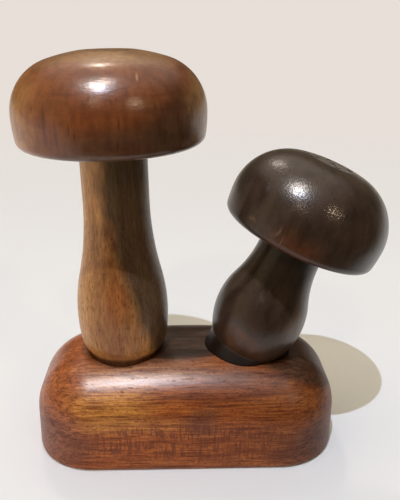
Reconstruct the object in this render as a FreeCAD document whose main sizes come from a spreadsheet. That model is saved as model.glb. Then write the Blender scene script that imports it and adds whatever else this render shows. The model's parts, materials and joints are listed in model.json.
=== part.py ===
import FreeCAD, Part
import Sketcher
import math
import os

# A pair of turned wooden shakers shaped like mushrooms, standing in a carved wooden stand.
# The tall shaker stands almost upright and the small one leans outwards. Each shaker is a
# hollow stem with a foot that drops into a socket of the stand, a tenon at its top, and a
# domed cap glued over the tenon. Shaker holes are drilled in the flat on top of the cap, and
# a cork in the foot closes the hole that the shaker is filled through.
# Millimetres. X runs along the stand, -Y is its front, Z is up, and the origin is the middle
# of the stand's underside.

doc = FreeCAD.newDocument("mushroom_shakers")

# ---------------------------------------------------------------------------------------
# Driving dimensions
# ---------------------------------------------------------------------------------------
STAND_SIZES = [
    ("stand_length", 131.2),
    ("stand_depth", 66.0),
    ("stand_height", 43.0),
    ("stand_corner_radius", 26.0),
    ("stand_wall_draft", 1.0),        # degrees that the walls lean in
    ("stand_crown_drop", 4.5),        # the top falls by this much from the middle to each end
    ("stand_top_round", 23.0),
    ("stand_foot_round", 2.0),
    ("socket_row_forward", 1.5),      # both sockets lie this far in front of the middle
    ("socket_clearance", 0.3),
    ("socket_bevel", 3.0),            # how far a socket's bevel widens it
]
SHARED_SIZES = [
    ("chamber_radius", 9.0),
    ("tenon_radius", 11.0),
    ("tenon_length", 10.0),
    ("tenon_clearance", 0.1),
    ("foot_round", 1.5),
    ("cap_rim_round", 3.5),
    ("cap_wall_radius", 60.0),
    ("cap_roof", 5.0),                # wood left above the chamber
    ("shaker_hole_radius", 1.1),
    ("shaker_ring_radius", 7.3),
    ("stopper_length", 12.0),
    ("stopper_small_radius", 7.7),
    ("stopper_clearance", 0.3),
    ("stopper_recess", 1.5),
    ("stopper_edge", 0.6),
]
# The two shakers have the same parts at different sizes. A stem's heights are measured from
# its foot, and a cap's from its underside.
SHAKER_SIZES = {
    "tall": [
        ("seat_x", -26.95),           # where its axis meets the level of the stand's top
        ("lean", -1.3),               # degrees, towards +X
        ("socket_depth", 20.5),
        ("foot_radius", 15.5),
        ("crease_height", 20.9),      # where the straight foot meets the rounded belly
        ("heel_radius", 11.0),
        ("belly_radius", 19.3),
        ("belly_height", 38.0),
        ("belly_curve", 75.0),
        ("neck_radius", 13.4),
        ("neck_height", 87.0),
        ("stem_length", 110.2),
        ("cap_radius", 37.1),
        ("cap_height", 34.2),
        ("cap_widest_height", 12.0),
        ("cap_crown_radius", 75.0),
        ("cap_flat_radius", 11.2),
        ("shaker_holes", 6),
    ],
    "small": [
        ("seat_x", 25.8),
        ("lean", 21.9),
        ("socket_depth", 20.5),
        ("foot_radius", 16.0),
        ("crease_height", 22.0),
        ("heel_radius", 22.0),
        ("belly_radius", 19.7),
        ("belly_height", 37.0),
        ("belly_curve", 33.0),
        ("neck_radius", 13.7),
        ("neck_height", 68.0),
        ("stem_length", 74.4),
        ("cap_radius", 33.2),
        ("cap_height", 33.6),
        ("cap_widest_height", 10.3),
        ("cap_crown_radius", 80.0),
        ("cap_flat_radius", 9.9),
        ("shaker_holes", 4),
    ],
}

all_sizes = STAND_SIZES + SHARED_SIZES
for shaker, sizes in SHAKER_SIZES.items():
    all_sizes += [(shaker + "_" + name, value) for name, value in sizes]

sheet = doc.addObject("Spreadsheet::Sheet", "sizes")
for row, (alias, value) in enumerate(all_sizes, start=1):
    sheet.set("A%d" % row, alias)
    sheet.set("B%d" % row, str(value))
    sheet.setAlias("B%d" % row, alias)
doc.recompute()


def size(alias):
    return float(sheet.get(alias))


# ---------------------------------------------------------------------------------------
# Sketches and features
# ---------------------------------------------------------------------------------------
def new_body(label):
    body = doc.addObject("PartDesign::Body", label)
    body.Label = label
    return body


def new_sketch(body, name, role):
    sketch = body.newObject("Sketcher::SketchObject", name)
    plane = [f for f in body.Origin.OriginFeatures if f.Role == role][0]
    sketch.AttachmentSupport = [(plane, "")]
    sketch.MapMode = "FlatFace"
    return sketch


class Outline:
    """A closed chain of lines and arcs in one sketch, whose sizes come from the sheet."""

    def __init__(self, sketch, start):
        self.sketch = sketch
        self.last = start
        self.ends = []                # (geometry, its start point, its end point)

    def line(self, x, y):
        shape = Part.LineSegment(FreeCAD.Vector(*self.last, 0), FreeCAD.Vector(x, y, 0))
        self.ends.append((self.sketch.addGeometry(shape, False), 1, 2))
        self.last = (x, y)
        return len(self.ends) - 1

    def arc(self, x, y, centre, leftwards=True):
        """An arc to x, y about centre. It turns left, or right where leftwards is False."""
        first = math.atan2(self.last[1] - centre[1], self.last[0] - centre[0])
        final = math.atan2(y - centre[1], x - centre[0])
        radius = math.hypot(x - centre[0], y - centre[1])
        circle = Part.Circle(FreeCAD.Vector(*centre, 0), FreeCAD.Vector(0, 0, 1), radius)
        if leftwards:
            shape = Part.ArcOfCircle(circle, first, final)
            ends = (1, 2)
        else:
            shape = Part.ArcOfCircle(circle, final, first)
            ends = (2, 1)
        self.ends.append((self.sketch.addGeometry(shape, False), *ends))
        self.last = (x, y)
        return len(self.ends) - 1

    def join(self, tangents):
        """Joins each piece to the next. The pieces named in tangents run on smoothly."""
        for number, (geometry, _, end) in enumerate(self.ends):
            following, start, _ = self.ends[(number + 1) % len(self.ends)]
            kind = "Tangent" if number in tangents else "Coincident"
            self.sketch.addConstraint(
                Sketcher.Constraint(kind, geometry, end, following, start))

    def level(self, *numbers):
        for number in numbers:
            self.sketch.addConstraint(Sketcher.Constraint("Horizontal", self.ends[number][0]))

    def upright(self, *numbers):
        for number in numbers:
            self.sketch.addConstraint(Sketcher.Constraint("Vertical", self.ends[number][0]))

    def on_axis(self, number, where):
        self.sketch.addConstraint(
            Sketcher.Constraint("PointOnObject", *self.point(number, where), -2))

    def point(self, number, where):
        geometry, start, end = self.ends[number]
        return geometry, {"start": start, "end": end, "centre": 3}[where]

    def place(self, kind, number, where, expression, value):
        """Holds a point at a distance from the origin along X or Y."""
        held = Sketcher.Constraint("Distance" + kind, -1, 1, *self.point(number, where), value)
        index = self.sketch.addConstraint(held)
        self.sketch.setExpression("Constraints[%d]" % index, expression)

    def radius(self, number, expression, value):
        held = Sketcher.Constraint("Radius", self.ends[number][0], value)
        index = self.sketch.addConstraint(held)
        self.sketch.setExpression("Constraints[%d]" % index, expression)


def revolve(body, kind, sketch):
    feature = body.newObject("PartDesign::" + kind, sketch.Name + "_turned")
    feature.Profile = sketch
    feature.ReferenceAxis = (sketch, ["V_Axis"])
    feature.Angle = 360.0
    return feature


def dress(body, kind, edges, size_name, expression):
    """Rounds or bevels edges of the body's last feature. Its size comes from the sheet."""
    doc.recompute()
    base = body.Tip
    names = ["Edge%d" % n for n, edge in enumerate(base.Shape.Edges, start=1) if edges(edge)]
    feature = body.newObject("PartDesign::" + kind, body.Name + "_" + kind.lower())
    feature.Base = (base, names)
    feature.setExpression(size_name, expression)
    return feature


def along_axis(shaker, height):
    """The place on a shaker's axis at a height above its foot, as an expression."""
    reach = "(%s - sizes.%s_socket_depth)" % (height, shaker)
    return "vector(sizes.{0}_seat_x + {1} * sin(sizes.{0}_lean); -sizes.socket_row_forward; " \
           "sizes.stand_height + {1} * cos(sizes.{0}_lean))".format(shaker, reach)


def stand_on_axis(body, shaker, height):
    turn = "rotation(vector(0; 1; 0); sizes.%s_lean)" % shaker
    body.setExpression("Placement", "placement(%s; %s)" % (along_axis(shaker, height), turn))


# ---------------------------------------------------------------------------------------
# Stand: a loaf with drafted walls, a crowned top and two turned sockets
# ---------------------------------------------------------------------------------------
def make_stand():
    body = new_body("stand")
    half_length = size("stand_length") / 2
    half_depth = size("stand_depth") / 2
    corner = size("stand_corner_radius")
    height = size("stand_height")

    sketch = new_sketch(body, "stand_plan", "XY_Plane")
    plan = Outline(sketch, (corner - half_length, -half_depth))
    x = half_length - corner
    y = half_depth - corner
    plan.line(x, -half_depth)
    plan.arc(half_length, -y, (x, -y))
    plan.line(half_length, y)
    plan.arc(x, half_depth, (x, y))
    plan.line(-x, half_depth)
    plan.arc(-half_length, y, (-x, y))
    plan.line(-half_length, -y)
    plan.arc(-x, -half_depth, (-x, -y))
    plan.join(range(8))
    plan.level(0, 4)
    plan.upright(2, 6)
    for number in (3, 5, 7):
        sketch.addConstraint(Sketcher.Constraint("Equal", plan.ends[1][0], plan.ends[number][0]))
    plan.radius(1, "sizes.stand_corner_radius", corner)
    plan.place("X", 2, "start", "sizes.stand_length / 2", half_length)
    plan.place("X", 6, "start", "-sizes.stand_length / 2", -half_length)
    plan.place("Y", 4, "start", "sizes.stand_depth / 2", half_depth)
    plan.place("Y", 0, "start", "-sizes.stand_depth / 2", -half_depth)

    block = body.newObject("PartDesign::Pad", "stand_block")
    block.Profile = sketch
    block.setExpression("Length", "sizes.stand_height")
    block.setExpression("TaperAngle", "-sizes.stand_wall_draft")

    # The crown is an arc from end to end, highest in the middle. What is above it is cut off.
    crown_sketch = new_sketch(body, "stand_crown", "XZ_Plane")
    drop = size("stand_crown_drop")
    crown_radius = (half_length ** 2 + drop ** 2) / (2 * drop)
    crown = Outline(crown_sketch, (-half_length, height - drop))
    above = height + drop
    crown.arc(half_length, height - drop, (0, height - crown_radius), leftwards=False)
    crown.line(half_length, above)
    crown.line(-half_length, above)
    crown.line(-half_length, height - drop)
    crown.join([])
    crown.level(2)
    crown.upright(1, 3)
    crown.on_axis(0, "centre")
    radius_rule = "(pow(sizes.stand_length / 2; 2) + pow(sizes.stand_crown_drop; 2)) " \
                  "/ (2 * sizes.stand_crown_drop)"
    crown.radius(0, radius_rule, crown_radius)
    crown.place("X", 1, "start", "sizes.stand_length / 2", half_length)
    crown.place("Y", 1, "start", "sizes.stand_height - sizes.stand_crown_drop", height - drop)
    crown.place("Y", 1, "end", "sizes.stand_height + sizes.stand_crown_drop", above)
    shaved = body.newObject("PartDesign::Pocket", "stand_shaved")
    shaved.Profile = crown_sketch
    shaved.Type = "ThroughAll"
    shaved.Midplane = True
    doc.recompute()

    def at_the_top(edge):
        return edge.BoundBox.ZMin > height / 2

    def at_the_foot(edge):
        return edge.BoundBox.ZMax < height / 2

    dress(body, "Fillet", at_the_top, "Radius", "sizes.stand_top_round")
    dress(body, "Fillet", at_the_foot, "Radius", "sizes.stand_foot_round")
    doc.recompute()
    for shaker in SHAKER_SIZES:
        bore_socket(body, shaker)
    return body


def bore_socket(body, shaker):
    """A flat-bottomed socket on the shaker's axis, bevelled out above the shaker's foot."""
    sketch = new_sketch(body, shaker + "_socket", "XZ_Plane")
    names = {"s": shaker}
    sketch.setExpression(
        "AttachmentOffset",
        "placement(vector(sizes.%(s)s_seat_x; sizes.stand_height; sizes.socket_row_forward); "
        "rotation(vector(0; 0; 1); -sizes.%(s)s_lean))" % names)
    depth = size(shaker + "_socket_depth")
    wall = size(shaker + "_foot_radius") + size("socket_clearance")
    mouth = size(shaker + "_crease_height") - depth
    bevel = size("socket_bevel")
    top = mouth + 4 * bevel
    bore = Outline(sketch, (0, -depth))
    bore.line(wall, -depth)
    bore.line(wall, mouth)
    bore.line(wall + bevel, mouth + bevel)
    bore.line(wall + bevel, top)
    bore.line(0, top)
    bore.line(0, -depth)
    bore.join([])
    bore.level(0, 4)
    bore.upright(1, 3, 5)
    bore.place("X", 0, "start", "0", 0)
    bore.place("Y", 0, "start", "-sizes.%(s)s_socket_depth" % names, -depth)
    wall_rule = "sizes.%(s)s_foot_radius + sizes.socket_clearance" % names
    bore.place("X", 1, "start", wall_rule, wall)
    mouth_rule = "sizes.%(s)s_crease_height - sizes.%(s)s_socket_depth" % names
    bore.place("Y", 1, "end", mouth_rule, mouth)
    bore.place("X", 2, "end", wall_rule + " + sizes.socket_bevel", wall + bevel)
    bore.place("Y", 2, "end", mouth_rule + " + sizes.socket_bevel", mouth + bevel)
    bore.place("Y", 3, "end", mouth_rule + " + 4 * sizes.socket_bevel", top)
    revolve(body, "Groove", sketch)
    doc.recompute()


# ---------------------------------------------------------------------------------------
# Stem: foot, belly and neck turned in one piece, bored through, with a tenon on top
# ---------------------------------------------------------------------------------------
def make_stem(shaker):
    body = new_body(shaker + "_stem")
    sketch = new_sketch(body, shaker + "_stem_outline", "XZ_Plane")
    names = {"s": shaker}
    bore = size("chamber_radius")
    foot = size(shaker + "_foot_radius")
    crease = size(shaker + "_crease_height")
    heel = size(shaker + "_heel_radius")
    belly = size(shaker + "_belly_radius")
    belly_height = size(shaker + "_belly_height")
    curve = size(shaker + "_belly_curve")
    neck = size(shaker + "_neck_radius")
    neck_height = size(shaker + "_neck_height")
    length = size(shaker + "_stem_length")
    tenon = size("tenon_radius")
    top = length + size("tenon_length")

    # The belly and the neck are two arcs that meet smoothly, so the neck's radius follows.
    belly_x = belly - curve
    reach = neck - belly_x
    rise = neck_height - belly_height
    neck_curve = (reach ** 2 + rise ** 2 - curve ** 2) / (2 * (curve - reach))
    share = curve / (curve + neck_curve)
    meet = (belly_x + share * (reach + neck_curve), belly_height + share * rise)

    # The heel's arc starts at the crease and runs smoothly into the belly, inside its circle.
    span = math.hypot(foot - belly_x, crease - belly_height)
    gap = curve - heel
    along = (span ** 2 + gap ** 2 - heel ** 2) / (2 * span)
    aside = math.sqrt(gap ** 2 - along ** 2)
    way = ((foot - belly_x) / span, (crease - belly_height) / span)
    heel_centre = (belly_x + along * way[0] - aside * way[1],
                   belly_height + along * way[1] + aside * way[0])
    touch = (belly_x + (heel_centre[0] - belly_x) * curve / gap,
             belly_height + (heel_centre[1] - belly_height) * curve / gap)

    stem = Outline(sketch, (bore, 0))
    stem.line(foot, 0)
    stem.line(foot, crease)
    stem.arc(*touch, heel_centre)
    stem.arc(*meet, (belly_x, belly_height))
    stem.arc(neck, neck_height, (neck + neck_curve, neck_height), leftwards=False)
    stem.line(neck, length)
    stem.line(tenon, length)
    stem.line(tenon, top)
    stem.line(bore, top)
    stem.line(bore, 0)
    stem.join([2, 3, 4])
    stem.level(0, 6, 8)
    stem.upright(1, 5, 7, 9)
    stem.place("X", 0, "start", "sizes.chamber_radius", bore)
    stem.place("Y", 0, "start", "0", 0)
    stem.place("X", 0, "end", "sizes.%(s)s_foot_radius" % names, foot)
    stem.place("Y", 1, "end", "sizes.%(s)s_crease_height" % names, crease)
    stem.radius(2, "sizes.%(s)s_heel_radius" % names, heel)
    stem.radius(3, "sizes.%(s)s_belly_curve" % names, curve)
    stem.place("X", 3, "centre", "sizes.%(s)s_belly_radius - sizes.%(s)s_belly_curve" % names,
               belly_x)
    stem.place("Y", 3, "centre", "sizes.%(s)s_belly_height" % names, belly_height)
    stem.place("X", 5, "start", "sizes.%(s)s_neck_radius" % names, neck)
    stem.place("Y", 5, "start", "sizes.%(s)s_neck_height" % names, neck_height)
    stem.place("Y", 5, "end", "sizes.%(s)s_stem_length" % names, length)
    stem.place("X", 7, "start", "sizes.tenon_radius", tenon)
    stem.place("Y", 7, "end", "sizes.%(s)s_stem_length + sizes.tenon_length" % names, top)
    revolve(body, "Revolution", sketch)
    dress(body, "Fillet",
          lambda edge: edge.BoundBox.ZMax < 0.01 and edge.BoundBox.XMax > (bore + foot) / 2,
          "Radius", "sizes.foot_round")
    stand_on_axis(body, shaker, "0")
    return body


# ---------------------------------------------------------------------------------------
# Cap: a turned dome with a sanded flat, bored from below, with shaker holes in the flat
# ---------------------------------------------------------------------------------------
def make_cap(shaker):
    body = new_body(shaker + "_cap")
    sketch = new_sketch(body, shaker + "_cap_outline", "XZ_Plane")
    names = {"s": shaker}
    bore = size("tenon_radius") + size("tenon_clearance")
    rim = size("cap_rim_round")
    wall = size("cap_wall_radius")
    radius = size(shaker + "_cap_radius")
    widest = size(shaker + "_cap_widest_height")
    height = size(shaker + "_cap_height")
    crown = size(shaker + "_cap_crown_radius")
    flat = size(shaker + "_cap_flat_radius")
    roof = height - size("cap_roof")

    # The wall's circle is level with the widest place, and the rim's round lies inside it.
    rim_x = radius - wall + math.sqrt((wall - rim) ** 2 - (widest - rim) ** 2)
    wall_reach = wall / (wall - rim)
    wall_foot = (radius - wall + (rim_x - radius + wall) * wall_reach,
                 widest + (rim - widest) * wall_reach)
    # The shoulder starts at the widest place and runs smoothly into the crown.
    crown_z = height - math.sqrt(crown ** 2 - flat ** 2)
    climb = widest - crown_z
    shoulder = (crown ** 2 - radius ** 2 - climb ** 2) / (2 * (crown - radius))
    crown_reach = crown / (crown - shoulder)
    crown_foot = ((radius - shoulder) * crown_reach, crown_z + climb * crown_reach)

    cap = Outline(sketch, (bore, 0))
    cap.line(rim_x, 0)
    cap.arc(*wall_foot, (rim_x, rim))
    cap.arc(radius, widest, (radius - wall, widest))
    cap.arc(*crown_foot, (radius - shoulder, widest))
    cap.arc(flat, height, (0, crown_z))
    cap.line(0, height)
    cap.line(0, roof)
    cap.line(bore, roof)
    cap.line(bore, 0)
    cap.join([0, 1, 2, 3])
    cap.level(0, 5, 7)
    cap.upright(6, 8)
    cap.place("X", 0, "start", "sizes.tenon_radius + sizes.tenon_clearance", bore)
    cap.place("Y", 0, "start", "0", 0)
    cap.radius(1, "sizes.cap_rim_round", rim)
    cap.radius(2, "sizes.cap_wall_radius", wall)
    cap.place("X", 2, "end", "sizes.%(s)s_cap_radius" % names, radius)
    cap.place("Y", 2, "end", "sizes.%(s)s_cap_widest_height" % names, widest)
    cap.place("Y", 2, "centre", "sizes.%(s)s_cap_widest_height" % names, widest)
    cap.radius(4, "sizes.%(s)s_cap_crown_radius" % names, crown)
    cap.on_axis(4, "centre")
    cap.place("X", 4, "end", "sizes.%(s)s_cap_flat_radius" % names, flat)
    cap.place("Y", 4, "end", "sizes.%(s)s_cap_height" % names, height)
    cap.on_axis(6, "start")
    cap.place("Y", 6, "end", "sizes.%(s)s_cap_height - sizes.cap_roof" % names, roof)
    revolve(body, "Revolution", sketch)
    doc.recompute()
    drill_holes(body, shaker)
    stand_on_axis(body, shaker, "sizes.%(s)s_stem_length" % names)
    return body


def drill_holes(body, shaker):
    """One hole in the middle of the flat and a ring of holes round it."""
    drilled_hole(body, shaker, "middle", "0", 0.0)
    ring = drilled_hole(body, shaker, "ring", "sizes.shaker_ring_radius",
                        size("shaker_ring_radius"))
    pattern = body.newObject("PartDesign::PolarPattern", shaker + "_hole_ring")
    pattern.Originals = [ring]
    pattern.Axis = (ring.Profile[0], ["N_Axis"])
    pattern.Angle = 360.0
    pattern.setExpression("Occurrences", "sizes.%s_shaker_holes" % shaker)
    body.Tip = pattern
    doc.recompute()


def drilled_hole(body, shaker, where, expression, reach):
    sketch = new_sketch(body, "%s_hole_%s" % (shaker, where), "XY_Plane")
    sketch.setExpression("AttachmentOffset.Base.z", "sizes.%s_cap_height" % shaker)
    radius = size("shaker_hole_radius")
    circle = sketch.addGeometry(
        Part.Circle(FreeCAD.Vector(reach, 0, 0), FreeCAD.Vector(0, 0, 1), radius), False)
    across = sketch.addConstraint(Sketcher.Constraint("DistanceX", -1, 1, circle, 3, reach))
    sketch.setExpression("Constraints[%d]" % across, expression)
    sketch.addConstraint(Sketcher.Constraint("PointOnObject", circle, 3, -1))
    bored = sketch.addConstraint(Sketcher.Constraint("Radius", circle, radius))
    sketch.setExpression("Constraints[%d]" % bored, "sizes.shaker_hole_radius")
    hole = body.newObject("PartDesign::Pocket", "%s_drilled_%s" % (shaker, where))
    hole.Profile = sketch
    hole.setExpression("Length", "sizes.cap_roof * 2")
    doc.recompute()
    return hole


# ---------------------------------------------------------------------------------------
# Stopper: a tapered cork, just inside the stem's foot
# ---------------------------------------------------------------------------------------
def make_stopper(shaker):
    body = new_body(shaker + "_stopper")
    sketch = new_sketch(body, shaker + "_stopper_outline", "XZ_Plane")
    wide = size("chamber_radius") - size("stopper_clearance")
    narrow = size("stopper_small_radius")
    length = size("stopper_length")
    cork = Outline(sketch, (0, 0))
    cork.line(wide, 0)
    cork.line(narrow, length)
    cork.line(0, length)
    cork.line(0, 0)
    cork.join([])
    cork.level(0, 2)
    cork.upright(3)
    cork.place("X", 0, "start", "0", 0)
    cork.place("Y", 0, "start", "0", 0)
    cork.place("X", 0, "end", "sizes.chamber_radius - sizes.stopper_clearance", wide)
    cork.place("X", 1, "end", "sizes.stopper_small_radius", narrow)
    cork.place("Y", 1, "end", "sizes.stopper_length", length)
    revolve(body, "Revolution", sketch)
    dress(body, "Chamfer", lambda edge: edge.Closed and abs(edge.BoundBox.ZLength) < 0.01,
          "Size", "sizes.stopper_edge")
    stand_on_axis(body, shaker, "sizes.stopper_recess")
    return body


# ---------------------------------------------------------------------------------------
# Build, check and write
# ---------------------------------------------------------------------------------------
bodies = [make_stand()]
for shaker in SHAKER_SIZES:
    bodies += [make_stem(shaker), make_cap(shaker), make_stopper(shaker)]
doc.recompute()

for thing in doc.Objects:
    if "Invalid" in thing.State or "Error" in thing.State:
        raise RuntimeError("%s did not build: %s" % (thing.Label, thing.State))
for body in bodies:
    if body.Shape.isNull() or not body.Shape.isValid() or len(body.Shape.Solids) != 1:
        raise RuntimeError("%s is not one valid solid" % body.Label)

os.makedirs("parts", exist_ok=True)
for body in bodies:
    box = body.Shape.BoundBox
    print("%-14s volume %9.1f  x %7.2f %7.2f  y %7.2f %7.2f  z %7.2f %7.2f" % (
        body.Label, body.Shape.Volume, box.XMin, box.XMax, box.YMin, box.YMax, box.ZMin, box.ZMax))
    body.Shape.exportStep("parts/%s.step" % body.Label)
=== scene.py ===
import json
import math

import bpy
from mathutils import Matrix, Vector


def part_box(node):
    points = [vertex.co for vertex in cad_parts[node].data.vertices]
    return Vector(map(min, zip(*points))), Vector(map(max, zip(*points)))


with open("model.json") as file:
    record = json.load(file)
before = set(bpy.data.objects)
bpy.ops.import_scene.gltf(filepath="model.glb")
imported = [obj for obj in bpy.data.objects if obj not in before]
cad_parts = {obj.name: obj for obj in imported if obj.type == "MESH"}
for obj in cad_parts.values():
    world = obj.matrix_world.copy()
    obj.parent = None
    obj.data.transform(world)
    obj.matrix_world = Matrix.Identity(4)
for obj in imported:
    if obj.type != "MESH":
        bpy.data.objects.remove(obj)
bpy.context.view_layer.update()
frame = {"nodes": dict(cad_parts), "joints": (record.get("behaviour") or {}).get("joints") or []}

# Two turned wooden shakers shaped like mushrooms stand in a carved wooden stand. The pieces
# are the CAD model's own. This script gives each its wood, and sets up the floor, the lamps
# and the camera.

MM = 0.001


# ---------------------------------------------------------------------------------------
# Nodes and colours
# ---------------------------------------------------------------------------------------
def colour(code):
    """The linear colour of an sRGB hex code."""
    shares = [int(code[place:place + 2], 16) / 255 for place in (0, 2, 4)]
    linear = [s / 12.92 if s <= 0.04045 else ((s + 0.055) / 1.055) ** 2.4 for s in shares]
    return (*linear, 1.0)


def add(tree, kind, inputs=None, stops=None, **settings):
    """Adds a node. An input takes a value, a socket, or a node, whose first output it takes."""
    node = tree.nodes.new("ShaderNode" + kind)
    for name, value in settings.items():
        setattr(node, name, value)
    for key, value in (inputs or {}).items():
        if isinstance(key, int):
            socket = node.inputs[key]
        else:
            socket = next(s for s in node.inputs if s.enabled and s.name == key)
        if isinstance(value, bpy.types.Node):
            value = next(s for s in value.outputs if s.enabled)
        if isinstance(value, bpy.types.NodeSocket):
            tree.links.new(value, socket)
        else:
            socket.default_value = value
    if stops:
        elements = node.color_ramp.elements
        while len(elements) < len(stops):
            elements.new(1.0)
        for element, (place, code) in zip(elements, stops):
            element.position = place
            element.color = colour(code)
    return node


def new_material(name):
    material = bpy.data.materials.new(name)
    material.use_nodes = True
    material.node_tree.nodes.clear()
    return material, material.node_tree


def dress(node_name, material):
    """Gives a CAD node its material."""
    piece = frame["nodes"][node_name]
    piece.data.materials.clear()
    piece.data.materials.append(material)


# ---------------------------------------------------------------------------------------
# Where each shaker stands and leans
# ---------------------------------------------------------------------------------------
def middle(node_name):
    low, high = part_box(node_name)
    return (Vector(low) + Vector(high)) / 2


def lean_of(joint_name):
    joint = next(j for j in frame["joints"] if j["name"] == joint_name)
    return math.atan2(joint["axis"][0], joint["axis"][2])


tall_cork, tall_lean = middle("tall_stopper"), lean_of("tall_lift")
small_cork, small_lean = middle("small_stopper"), lean_of("small_lift")


# ---------------------------------------------------------------------------------------
# Wood. Every pattern is worked out in millimetres. On a shaker they are measured from its
# cork, with Z up its axis, and on the stand from the middle of its underside.
# ---------------------------------------------------------------------------------------
WHITE = "FFFFFF"
STREAK_DARK, STREAK_CLEAR = 0.32, 0.62    # where blots are darkest, and where they end
PORE_SPACING = 3.0                        # from one pore to the next, in pores
PORE_CORE, PORE_EDGE = 0.12, 0.30         # a pore's dark middle and its edge, in spacings
WOOD_IOR = 1.5
HARD_EDGE = 0.08                          # the fade of painted shade with a clear edge
WORN_BELOW, LACQUER_ABOVE = -0.5, 1.0     # from a foot's crease, in millimetres


def in_mm(tree, origin=(0, 0, 0), lean=0.0):
    """Where a point is, in millimetres from origin, on axes that lean towards +X."""
    place = add(tree, "TexCoord").outputs["Object"]
    return add(tree, "Mapping", {"Vector": place, "Location": origin, "Rotation": (0, lean, 0),
                                 "Scale": (MM, MM, MM)}, vector_type="TEXTURE")


def blots(tree, place, size, detail=3.0, roughness=0.6, seed=0.0):
    """Soft blots, as large as size along each axis. The seed sets where they fall."""
    spread = add(tree, "Mapping", {"Vector": place, "Location": (seed, seed, seed),
                                   "Scale": [1 / along for along in size]})
    return add(tree, "TexNoise", {"Vector": spread, "Scale": 1.0, "Detail": detail,
                                  "Roughness": roughness})


def wander(tree, place, size, reach):
    """The place, pushed about by up to reach, so that an edge drawn in it is uneven."""
    spread = blots(tree, place, size, detail=2.0)
    push = add(tree, "VectorMath", {0: spread.outputs["Color"], 1: (0.5, 0.5, 0.5)},
               operation="SUBTRACT")
    return add(tree, "VectorMath", {0: push, 1: [2 * along for along in reach], 2: place},
               operation="MULTIPLY_ADD")


def pores(tree, place, size, share, seed=0.0):
    """Open pores, 1 inside a pore: dashes as large as size, in share of their places. Real
    pores are 0.1 to 0.3 mm wide. These are drawn two to four times as coarse, to show."""
    room = [PORE_SPACING * along for along in size]
    spread = add(tree, "Mapping", {"Vector": place, "Location": (seed, seed, seed),
                                   "Scale": [1 / along for along in room]})
    cells = add(tree, "TexVoronoi", {"Vector": spread, "Scale": 1.0})
    inside = add(tree, "MapRange", {"Value": cells.outputs["Distance"],
                                    "From Min": PORE_EDGE, "From Max": PORE_CORE})
    chance = add(tree, "SeparateColor", {"Color": cells.outputs["Color"]})
    shown = add(tree, "Math", {0: chance.outputs["Red"], 1: share}, operation="LESS_THAN")
    return add(tree, "Math", {0: inside, 1: shown}, operation="MULTIPLY")


def patch(tree, place, centre, reach, fade=0.5):
    """1 in an oval place on the wood, 0 outside it, and soft over fade of its reach."""
    near = add(tree, "Mapping", {"Vector": place, "Location": centre, "Scale": reach},
               vector_type="TEXTURE")
    away = add(tree, "VectorMath", {0: near}, operation="LENGTH")
    return add(tree, "MapRange", {"Value": away.outputs["Value"], "From Min": 1 + fade,
                                  "From Max": 1 - fade}, interpolation_type="SMOOTHSTEP")


def stained(tree, tone, place, stains, fade=0.5):
    """The tone with ovals of other colours over it: (centre, reach, strength, colour)."""
    for centre, reach, strength, code in stains:
        mask = add(tree, "Math", {0: patch(tree, place, centre, reach, fade), 1: strength},
                   operation="MULTIPLY")
        tone = add(tree, "Mix", {"Factor": mask, "A": tone, "B": colour(code)},
                   data_type="RGBA")
    return tone


def streaked(tree, tone, place, size, dark, seed=0.0):
    """The tone with finer streaks of size multiplied in. dark is the darkest they make it."""
    shade = add(tree, "ValToRGB", {"Fac": blots(tree, place, size, seed=seed)},
                stops=[(STREAK_DARK, dark), (STREAK_CLEAR, WHITE)])
    return add(tree, "Mix", {"Factor": 1.0, "A": tone, "B": shade}, data_type="RGBA",
               blend_type="MULTIPLY")


def inked(tree, tone, mask, strength, code):
    """The tone, darkened to a colour where the mask is 1."""
    share = add(tree, "Math", {0: mask, 1: strength}, operation="MULTIPLY")
    return add(tree, "Mix", {"Factor": share, "A": tone, "B": colour(code)},
               data_type="RGBA")


def lacquered(tree, tone, skin, waves, gloss, dull, sheen):
    """Wood under lacquer. skin is how much lacquer there is, and gloss is its roughness.
    dull and sheen are the roughness and shine of the wood. waves is the surface's uneven
    height in millimetres."""
    bump = add(tree, "Bump", {"Strength": 1.0, "Distance": MM, "Height": waves})
    shader = add(tree, "BsdfPrincipled", {
        "Base Color": tone, "Roughness": dull, "Specular IOR Level": sheen,
        "IOR": WOOD_IOR, "Normal": bump, "Coat Weight": skin, "Coat Roughness": gloss,
        "Coat Normal": bump})
    add(tree, "OutputMaterial", {"Surface": shader})


def skinned(tree, pits, full):
    """How much lacquer there is: full, but none in an open pore."""
    return add(tree, "Math", {0: pits, 1: -full, 2: full}, operation="MULTIPLY_ADD")


def bare_foot(tree, place, skin, crease):
    """The lacquer, worn off the foot that rubs in its socket: none below the crease."""
    height = add(tree, "SeparateXYZ", {"Vector": place}).outputs["Z"]
    above = add(tree, "MapRange", {"Value": height, "From Min": crease + WORN_BELOW,
                                   "From Max": crease + LACQUER_ABOVE})
    return add(tree, "Math", {0: above, 1: skin}, operation="MULTIPLY")


def brushed(tree, place, size, height):
    """The height of a brushed or worn lacquer: low waves as large as size."""
    swell = blots(tree, place, size, detail=2.0, roughness=0.7, seed=21.0)
    return add(tree, "Math", {0: swell, 1: height}, operation="MULTIPLY")


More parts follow.
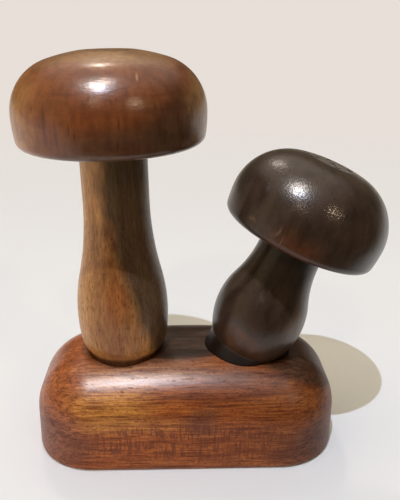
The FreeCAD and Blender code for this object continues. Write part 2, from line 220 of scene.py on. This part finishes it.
def stand_wood():
    """Padauk or a red mahogany, sanded and lacquered: orange-red, with fine grain along the
    stand, open pores that the lacquer doesn't fill, and a band of cross ripple low down."""
    material, tree = new_material("lacquered_red_mahogany")
    place = in_mm(tree)
    loose = wander(tree, place, size=(16, 12, 6), reach=(8, 4, 3))
    grain = wander(tree, place, size=(40, 12, 12), reach=(0, 1.2, 1.2))
    length = add(tree, "SeparateXYZ", {"Vector": loose})
    along = add(tree, "MapRange", {"Value": length.outputs["X"], "From Min": -STAND_END,
                                   "From Max": STAND_END})
    tone = add(tree, "ValToRGB", {"Fac": along}, stops=STAND_TONES)
    # Stains, and a painted highlight along the top's front edge.
    tone = stained(tree, tone, loose, STAND_STAINS_AND_HIGHLIGHT)
    # Painted shadows of the caps on the top, and painted shade round the tall socket.
    tone = stained(tree, tone, place, PAINTED_SHADOWS, fade=HARD_EDGE)
    for size, dark, seed in STAND_STREAKS:
        tone = streaked(tree, tone, grain, size, dark, seed=seed)
    bars = blots(tree, place, RIPPLE_BARS, detail=1.0, seed=7.0)
    barred = add(tree, "MapRange", {"Value": bars, "From Min": BAR_EDGE,
                                    "From Max": BAR_FULL})
    band = patch(tree, place, *RIPPLE_BAND, fade=0.3)
    bunches = blots(tree, place, RIPPLE_BUNCHES, seed=5.0)
    bunched = add(tree, "MapRange", {"Value": bunches, "From Min": BUNCH_EDGE,
                                     "From Max": BUNCH_FULL})
    ripple = add(tree, "Math", {0: barred, 1: band}, operation="MULTIPLY")
    ripple = add(tree, "Math", {0: ripple, 1: bunched}, operation="MULTIPLY")
    tone = inked(tree, tone, ripple, 0.75, "6E361C")
    fine = pores(tree, grain, (1.2, 0.5, 0.34), share=0.75)
    long = pores(tree, grain, (5, 0.8, 0.38), share=0.3, seed=4.0)
    pits = add(tree, "Math", {0: fine, 1: long}, operation="MAXIMUM")
    tone = inked(tree, tone, pits, 0.6, "4E2414")
    waves = brushed(tree, grain, (4, 1.6, 1.6), height=0.06)
    level = add(tree, "SeparateXYZ", {"Vector": loose}).outputs["Z"]
    skin = skinned(tree, pits, 1.0)
    for way, coat in ((level, LOW_COAT), (length.outputs["X"], RIGHT_COAT)):
        start, end, at_start, at_end = coat
        kept = add(tree, "MapRange", {"Value": way, "From Min": start, "From Max": end,
                                      "To Min": at_start, "To Max": at_end})
        skin = add(tree, "Math", {0: skin, 1: kept}, operation="MULTIPLY")
    # The painted shadows also take lacquer off.
    for centre, reach, strength, _ in PAINTED_SHADOWS:
        worn = patch(tree, place, centre, reach, HARD_EDGE)
        left = add(tree, "Math", {0: worn, 1: -strength, 2: 1.0},
                   operation="MULTIPLY_ADD")
        skin = add(tree, "Math", {0: skin, 1: left}, operation="MULTIPLY")
    lacquered(tree, tone, skin, waves, gloss=0.33, dull=0.4, sheen=0.2)
    return material


STAND_END = 66.0
STAND_TONES = [(0.0, "D47C3E"), (0.25, "D68038"), (0.45, "C67434"), (0.7, "B86E34"),
               (1.0, "985E30")]                  # from the left end to the right; darker to the right, partly painted shade
STAND_STREAKS = [((40, 5, 3), "C8B4AC", 3.0), ((12, 1.2, 0.7), "AC9082", 11.0),
                 ((1.0, 0.6, 0.5), "D2BEB2", 17.0)]       # size, darkest, seed
RIPPLE_BAND = ((8, -33, 14), (54, 20, 9))        # its middle and its reach
RIPPLE_BARS = (0.9, 14, 7)
BAR_EDGE, BAR_FULL = 0.51, 0.45
RIPPLE_BUNCHES = (8, 9, 4)
BUNCH_EDGE, BUNCH_FULL = 0.40, 0.48
# The lacquer thins towards the foot and the right end: from, to, how much there is at each.
LOW_COAT = (18.0, 34.0, 0.25, 1.0)
RIGHT_COAT = (-30.0, 6.0, 0.76, 0.34)
STAND_STAINS_AND_HIGHLIGHT = [
    ((-31, -30, 28), (16, 30, 8), 0.9, "F2AE54"),
    ((-13, -32, 23), (13, 30, 4), 0.5, "D2904A"),
    # A painted highlight: a pale band along the top's front edge.
    ((-20, -20, 41), (26, 8, 5), 0.5, "E2BA90"),
    ((-54, -27, 13), (15, 30, 12), 0.7, "96644E"),
    ((7, -32, 23), (6, 12, 7), 0.6, "7A5440"),
    ((54, -28, 7), (15, 30, 12), 0.7, "664836"),
    ((20, -32, 3), (46, 30, 3), 0.4, "A8683E"),
]
# Painted shadows: the caps' shadows on the stand's top, and painted shade round the tall
# socket. Darker, with less lacquer. They stay when a lamp moves.
PAINTED_SHADOWS = [
    ((-8, 24, 42), (41, 39, 9), 0.9, "484236"),
    ((-3, -10, 44), (17, 4.2, 5), 0.6, "2A1E14"),
    ((52, 8, 38), (34, 31, 15), 0.85, "543F2E"),
    ((-28, 0, 42), (18.5, 18.5, 9), 0.5, "4A2C1A"),
]


def golden_wood():
    """One turned stick with golden sapwood on its left and dark heartwood on its right,
    lacquered. The dark right is partly painted shade on its shaded side. The pores are short
    dark flecks, and small red knots lie along the boundary."""
    material, tree = new_material("lacquered_golden_walnut")
    place = in_mm(tree, tall_cork, tall_lean)
    loose = wander(tree, place, size=(6, 6, 14), reach=(1.6, 1.6, 5))
    grain = wander(tree, place, size=(8, 8, 30), reach=(0.8, 0.8, 0))
    at = add(tree, "SeparateXYZ", {"Vector": loose})
    drop = add(tree, "Math", {0: HEART_SHADE_BEND, 1: at.outputs["Z"]}, operation="SUBTRACT")
    drop = add(tree, "Math", {0: drop, 1: 0.0}, operation="MAXIMUM")
    inside = add(tree, "Math", {0: drop, 1: -HEART_SHADE_SLANT, 2: at.outputs["X"]},
                 operation="MULTIPLY_ADD")
    heart_and_shade = add(tree, "MapRange", {"Value": inside, "From Min": HEART_SHADE_FROM,
                                   "From Max": HEART_SHADE_FULL},
                interpolation_type="SMOOTHSTEP")
    # Stains, and a painted reflection of the stand low on the stick.
    tone = stained(tree, colour("EEB468"), loose, STEM_STAINS_AND_REFLECTION)
    # Dark heartwood on the right, partly painted shade on the stick's shaded side.
    tone = inked(tree, tone, heart_and_shade, 0.9, "584A3A")
    tone = stained(tree, tone, grain, KNOT_STAINS, fade=0.9)
    # Painted shade on the foot, down in its socket.
    tone = stained(tree, tone, place, TALL_FOOT_SHADE, fade=HARD_EDGE)
    tone = streaked(tree, tone, grain, (3, 3, 30), "D6CAC0", seed=2.0)
    tone = streaked(tree, tone, grain, (0.8, 0.8, 5), "D4C4B6", seed=9.0)
    dots = pores(tree, loose, (0.35, 0.35, 0.8), share=0.6)
    dashes = pores(tree, grain, (0.35, 0.35, 2.2), share=0.35, seed=8.0)
    flecks = add(tree, "Math", {0: dots, 1: dashes}, operation="MAXIMUM")
    low = patch(tree, place, centre=(0, 0, 42), reach=(30, 30, 42), fade=0.3)
    flecks = add(tree, "Math", {0: flecks, 1: low}, operation="MULTIPLY")
    tone = inked(tree, tone, flecks, 0.55, "5A3620")
    waves = brushed(tree, grain, (1.5, 1.5, 3), height=0.03)
    skin = bare_foot(tree, place, skinned(tree, flecks, 0.7), TALL_CREASE)
    lacquered(tree, tone, skin, waves, gloss=0.32, dull=0.5, sheen=0.1)
    return material


TALL_CREASE = 13.4
HEART_SHADE_BEND, HEART_SHADE_SLANT = 77.0, 0.27      # below this height the edge of the heartwood and painted shade leans right
HEART_SHADE_FROM, HEART_SHADE_FULL = -6.6, -0.8
# Painted shade on the foot, down in its socket.
TALL_FOOT_SHADE = [((0, 0, 5), (90, 90, 8.6), 0.8, "4A2C18")]
STEM_STAINS_AND_REFLECTION = [
    ((-3, -14, 62), (9, 20, 15), 0.7, "AE7A46"),
    ((-2, -17, 36), (12, 30, 26), 0.8, "A06636"),
    ((-1, -17, 41), (5, 30, 9), 0.4, "BC6A34"),
    # A painted reflection of the orange stand on the stick's low bulge.
    ((0, -16, 10), (22, 30, 5), 0.7, "905830"),
]
KNOT_STAINS = [
    ((-6.3, -13.4, 88), (1.4, 6, 6), 0.5, "8A5038"),
    ((-3.2, -13.4, 70), (1.6, 6, 3.0), 0.6, "70382A"),
    ((-0.4, -13.4, 65), (1.2, 6, 2.2), 0.6, "5A2C22"),
    ((3.2, -18, 31), (0.9, 8, 0.6), 0.5, "5A3620"),
    ((5.4, -18, 36), (0.7, 8, 0.9), 0.5, "5A3620"),
]


def red_brown_wood():
    """Reddish brown wood with short upright pores, under a thick gloss."""
    material, tree = new_material("lacquered_red_brown_wood")
    place = in_mm(tree, tall_cork, tall_lean)
    loose = wander(tree, place, size=(12, 12, 8), reach=(5, 5, 3))
    grain = wander(tree, place, size=(10, 10, 20), reach=(1, 1, 0))
    # Painted light and shade over the cap's tone.
    tone = stained(tree, colour("965429"), loose, CAP_LIGHT_AND_SHADE)
    tone = streaked(tree, tone, loose, (14, 14, 7), "D0C0B4", seed=2.0)
    tone = streaked(tree, tone, grain, (2.4, 2.4, 9), "DCD2CA", seed=6.0)
    pits = pores(tree, grain, (0.6, 0.6, 3.2), share=0.35)
    low = patch(tree, place, centre=(0, 0, 96), reach=(90, 90, 32), fade=0.15)
    pits = add(tree, "Math", {0: pits, 1: low}, operation="MULTIPLY")
    tone = inked(tree, tone, pits, 0.55, "4A2414")
    tone = stained(tree, tone, grain, CAP_MARKS, fade=0.6)
    waves = brushed(tree, grain, (2.5, 2.5, 0.7), height=0.07)
    skin = skinned(tree, pits, 0.65)
    lacquered(tree, tone, skin, waves, gloss=0.22, dull=0.36, sheen=0.25)
    return material


# Painted light and shade, one a line: lighter on the lit left, darker low on the front and on
# the right, a pale painted reflection on the top and on the right rim, and painted shade round
# the rim's underside.
CAP_LIGHT_AND_SHADE = [
    ((-38, -12, 112), (15, 26, 22), 0.8, "D4964E"),
    ((10, -34, 106), (26, 16, 8), 0.7, "5A4432"),
    ((28, -24, 112), (14, 18, 14), 0.7, "5C4632"),
    ((2, -4, 137), (34, 22, 5), 0.7, "CEA26A"),
    ((38, 0, 118), (8, 30, 20), 0.7, "BC9058"),
    ((0, 0, 99), (90, 90, 4.5), 0.7, "3A2818"),
]
CAP_MARKS = [
    ((-19, -31, 116), (0.5, 8, 7), 0.55, "4A2414"),
    ((-15, -33, 112), (0.6, 8, 4), 0.5, "4A2414"),
    ((-11.5, -33, 125), (4, 8, 0.5), 0.5, "5A3020"),
    ((22, -26, 124), (6, 8, 0.5), 0.4, "5A3020"),
    ((12.5, -27.7, 129.8), (0.4, 6, 1.1), 0.6, "C89A70"),
]


def dark_wood():
    """Very dark brown wood, close-grained, under a worn gloss."""
    material, tree = new_material("lacquered_dark_wood")
    place = in_mm(tree, small_cork, small_lean)
    loose = wander(tree, place, size=(9, 9, 12), reach=(3, 3, 4))
    # Stains, with painted shade, a painted reflection and painted light among them.
    tone = stained(tree, colour("46352A"), loose, DARK_STAINS_LIGHT_AND_SHADE)
    tone = streaked(tree, tone, loose, (6, 6, 20), "B8B2AC", seed=2.0)
    # Painted shade on the foot, down in its socket.
    tone = stained(tree, tone, place, SMALL_FOOT_SHADE, fade=HARD_EDGE)
    pits = pores(tree, place, (0.4, 0.4, 1.6), share=0.15)
    tone = inked(tree, tone, pits, 0.5, "1E120C")
    tone = stained(tree, tone, loose, DARK_DENTS, fade=0.8)
    waves = brushed(tree, place, (0.8, 0.8, 0.8), height=0.085)
    skin = bare_foot(tree, place, skinned(tree, pits, 0.5), SMALL_CREASE)
    lacquered(tree, tone, skin, waves, gloss=0.18, dull=0.34, sheen=0.2)
    return material


SMALL_CREASE = 14.5
# Painted shade on the foot, down in its socket.
SMALL_FOOT_SHADE = [((0, 0, 5), (90, 90, 9.6), 0.85, "1E1610")]
# A red-brown stain and a darker one, then painted shade under the cap's rim, a painted
# reflection of the stand on the stem's low bulge, and painted light on the stem's right.
DARK_STAINS_LIGHT_AND_SHADE = [
    ((-9, -30, 68), (11, 12, 9), 0.75, "6E4026"),
    ((16, -28, 84), (9, 12, 8), 0.4, "5A4030"),
    ((0, 0, 64), (36, 36, 5), 0.7, "1E1610"),
    ((-6, -18, 21), (10, 12, 5), 0.6, "6A4630"),
    ((13, -13, 42), (6, 14, 14), 0.6, "7A624C"),
]
DARK_DENTS = [
    ((-25, -21.7, 73.5), (0.9, 8, 0.5), 0.25, "94704E"),
    ((-16.8, -29, 73.5), (0.35, 8, 1.5), 0.35, "94704E"),
    ((-14.2, -29, 71.8), (0.35, 8, 1.7), 0.35, "94704E"),
]


CRUMB_SIZE = 1.5
CRUMB_DEPTH = 0.2


def cork():
    """Natural cork, cut across its bark: pale, matt and crumbly, with dark flecks."""
    material, tree = new_material("natural_cork")
    crumbs = add(tree, "TexVoronoi", {"Vector": in_mm(tree), "Scale": 1 / CRUMB_SIZE})
    tone = add(tree, "ValToRGB", {"Fac": crumbs.outputs["Distance"]},
               stops=[(0.0, "C49A68"), (0.6, "A87B4C"), (0.85, "6E4A2B")])
    dips = add(tree, "Bump", {"Strength": 0.8, "Distance": CRUMB_DEPTH * MM,
                              "Height": crumbs.outputs["Distance"]})
    shader = add(tree, "BsdfPrincipled", {"Base Color": tone, "Roughness": 0.85,
                                          "Normal": dips})
    add(tree, "OutputMaterial", {"Surface": shader})
    return material


dark = dark_wood()
stopper_cork = cork()
dress("stand", stand_wood())
dress("tall_stem", golden_wood())
dress("tall_cap", red_brown_wood())
dress("small_stem", dark)
dress("small_cap", dark)
dress("tall_stopper", stopper_cork)
dress("small_stopper", stopper_cork)


# ---------------------------------------------------------------------------------------
# Floor, room, lamps and camera
# ---------------------------------------------------------------------------------------
TABLE_SIZE = 60.0
TABLE_TURN = 30.0      # degrees, so that its edge passes in front and on the right
TABLE_EDGE = 0.12      # from the object's middle to that edge
TABLE_FADE = 0.05      # the camera sees the table fade into card over this width
TABLE_WHITE = -0.35    # it is whitest round this Y
TABLE_NEAR = 0.25
TABLE_FAR = 1.55
TABLE = [(0.0, "FAFCFB"), (0.08, "F2F5F3"), (0.35, "ECEDEB"), (1.0, "E9E6E1")]
CARD = "EBE8E5"
CARD_NEAR, CARD_FAR = 0.3, 0.8
BACKDROP = [(0.0, "E7DFD8"), (0.12, "E9E5E1"), (0.6, "ECE9E6")]     # from level to down


def make_floor():
    """A wide pale matt table top, white near the object and a little warmer far away. It
    ends close to the object in front and on the right, so that the lacquer there mirrors a
    dim room and not the table. The camera sees it turn into plain card there, and further
    away on all sides."""
    turn = math.radians(TABLE_TURN)
    back = TABLE_SIZE / 2 - TABLE_EDGE
    bpy.ops.object.select_all(action="DESELECT")
    bpy.ops.mesh.primitive_plane_add(size=TABLE_SIZE, rotation=(0, 0, turn),
                                     location=(-math.sin(turn) * back,
                                               math.cos(turn) * back, 0))
    bpy.ops.object.transform_apply()
    floor = bpy.context.object
    floor.name = "floor"
    material, tree = new_material("matt_pale_card")
    place = add(tree, "TexCoord").outputs["Object"]
    away = add(tree, "VectorMath", {0: place, 1: (0, TABLE_WHITE, 0)}, operation="DISTANCE")
    far = add(tree, "MapRange", {"Value": away.outputs["Value"], "From Min": TABLE_NEAR,
                                 "From Max": TABLE_FAR})
    tone = add(tree, "ValToRGB", {"Fac": far}, stops=TABLE)
    matt = add(tree, "BsdfDiffuse", {"Color": tone})
    out = add(tree, "VectorMath", {0: place, 1: (math.sin(turn), -math.cos(turn), 0)},
              operation="DOT_PRODUCT")
    faded = add(tree, "MapRange", {"Value": out.outputs["Value"],
                                   "From Min": TABLE_EDGE - TABLE_FADE,
                                   "From Max": TABLE_EDGE},
                interpolation_type="SMOOTHSTEP")
    from_object = add(tree, "VectorMath", {0: place}, operation="LENGTH")
    distant = add(tree, "MapRange", {"Value": from_object.outputs["Value"],
                                     "From Min": CARD_NEAR, "From Max": CARD_FAR})
    faded = add(tree, "Math", {0: faded, 1: distant}, operation="MAXIMUM")
    seen = add(tree, "LightPath").outputs["Is Camera Ray"]
    faded = add(tree, "Math", {0: faded, 1: seen}, operation="MULTIPLY")
    shade = add(tree, "Mix", {"Factor": distant, "A": colour(CARD),
                              "B": colour(BACKDROP[0][1])}, data_type="RGBA")
    card = add(tree, "Emission", {"Color": shade})
    both = add(tree, "MixShader", {0: faded, 1: matt, 2: card})
    add(tree, "OutputMaterial", {"Surface": both})
    floor.data.materials.append(material)


LAMP_FOCUS = Vector((0, 0, 0.08))     # what the near lamp shines on, in metres
LAMP_DISTANCE = 1.1


def way_to(azimuth, elevation):
    """The way to a lamp. Azimuth 0 is in front, and it grows towards +X."""
    turn = math.radians(azimuth)
    rise = math.radians(elevation)
    return Vector((math.sin(turn) * math.cos(rise), -math.cos(turn) * math.cos(rise),
                   math.sin(rise)))


def near_lamp(name, azimuth, elevation, strength, width, code):
    """A lamp so close that shadows are a little larger than what casts them. Its light
    doesn't weaken with distance, so that the table is as bright all over."""
    light = bpy.data.lights.new(name, "POINT")
    light.energy = strength * 4 * math.pi
    light.shadow_soft_size = width / 2
    light.color = colour(code)[:3]
    light.use_nodes = True
    tree = light.node_tree
    even = add(tree, "LightFalloff", {"Strength": 1.0}).outputs["Constant"]
    tree.links.new(even, tree.nodes["Emission"].inputs["Strength"])
    holder = bpy.data.objects.new(name, light)
    holder.location = LAMP_FOCUS + LAMP_DISTANCE * way_to(azimuth, elevation)
    bpy.context.scene.collection.objects.link(holder)


def lamp(name, azimuth, elevation, strength, spread, code, glow=False):
    """A far lamp. spread is its width in degrees, as the object sees it. A glow is the
    lamp's shade: gloss shows it, and it lights nothing."""
    light = bpy.data.lights.new(name, "SUN")
    light.energy = strength
    light.angle = math.radians(spread)
    light.color = colour(code)[:3]
    holder = bpy.data.objects.new(name, light)
    holder.rotation_euler = way_to(azimuth, elevation).to_track_quat("Z", "Y").to_euler()
    holder.visible_diffuse = not glow
    bpy.context.scene.collection.objects.link(holder)


DIM_ROOM = "58503F"
# Each bright place: the way to it, where it is full and where it ends in degrees, its colour.
BRIGHT_PLACES = [
    ((0.0, 0.25, 0.97), 30, 54, "F2E8D8"),
    ((-0.95, -0.1, 0.3), 22, 52, "CDB68C"),
]


def make_room():
    """A dim room with a bright ceiling above and behind, and a bright window on the left.
    The camera sees pale card in its place."""
    world = bpy.data.worlds.new("soft_room")
    world.use_nodes = True
    tree = world.node_tree
    tree.nodes.clear()
    way = add(tree, "TexCoord").outputs["Generated"]
    tone = colour(DIM_ROOM)
    for towards, inner, outer, code in BRIGHT_PLACES:
        near = add(tree, "VectorMath", {0: way, 1: Vector(towards).normalized()},
                   operation="DOT_PRODUCT")
        share = add(tree, "MapRange", {"Value": near.outputs["Value"],
                                       "From Min": math.cos(math.radians(outer)),
                                       "From Max": math.cos(math.radians(inner))},
                    interpolation_type="SMOOTHSTEP")
        tone = add(tree, "Mix", {"Factor": share, "A": tone, "B": colour(code)},
                   data_type="RGBA")
    up = add(tree, "SeparateXYZ", {"Vector": way}).outputs["Z"]
    down = add(tree, "Math", {0: up, 1: -1.0}, operation="MULTIPLY")
    card = add(tree, "ValToRGB", {"Fac": down}, stops=BACKDROP)
    seen = add(tree, "LightPath").outputs["Is Camera Ray"]
    tone = add(tree, "Mix", {"Factor": seen, "A": tone, "B": card}, data_type="RGBA")
    light = add(tree, "Background", {"Color": tone, "Strength": 1.0})
    add(tree, "OutputWorld", {"Surface": light})
    bpy.context.scene.world = world


CAMERA_EYE = (-3.85, -240.03, 181.0)     # in millimetres
CAMERA_AHEAD = (0.0394, 0.9992, 0.0)
CAMERA_PITCH = 21.4                      # degrees down
CAMERA_ROLL = 0.61
CAMERA_FILM = 36.0
CAMERA_LENS = 55.17


def make_camera():
    """A little above the caps, looking down at them, and as near as a phone is held."""
    eye = Vector(CAMERA_EYE) * MM
    ahead = Vector(CAMERA_AHEAD)
    pitch = math.radians(CAMERA_PITCH)
    roll = math.radians(CAMERA_ROLL)
    forward = ahead * math.cos(pitch) - Vector((0, 0, math.sin(pitch)))
    level = ahead.cross(Vector((0, 0, 1)))
    right = level * math.cos(roll) + level.cross(forward) * math.sin(roll)
    turn = Matrix((right, right.cross(forward), -forward)).transposed()
    data = bpy.data.cameras.new("camera")
    data.sensor_fit = "HORIZONTAL"
    data.sensor_width = CAMERA_FILM
    data.lens = CAMERA_LENS
    data.clip_start = 0.01
    data.clip_end = 100.0
    camera = bpy.data.objects.new("camera", data)
    camera.matrix_world = Matrix.Translation(eye) @ turn.to_4x4()
    bpy.context.scene.collection.objects.link(camera)
    bpy.context.scene.camera = camera


# Each far lamp: azimuth and elevation, strength, spread, colour, and whether it is a glow.
LAMPS = {
    "ceiling_glow": (-33, 70, 2.3, 12.0, "FFF4EA", True),
    "high_glow": (-15, 80, 0.8, 9.0, "FFF4E8", True),
    "room_lamp": (37, 34, 0.2, 4.0, "FFD9A8", False),
    "room_glow": (37, 34, 0.16, 2.5, "FFF0DC", True),
    "front_lamp": (-17, 40, 0.2, 4.0, "FFE2C0", False),
    "back_lamp": (-167, 50, 0.3, 5.0, "FFF1E2", False),
}
make_floor()
make_room()
near_lamp("ceiling_lamp", azimuth=-18, elevation=65.9, strength=1.62, width=0.014,
          code="D9E4FF")
for name, settings in LAMPS.items():
    lamp(name, *settings)
make_camera()
bpy.context.scene.view_settings.view_transform = "Standard"
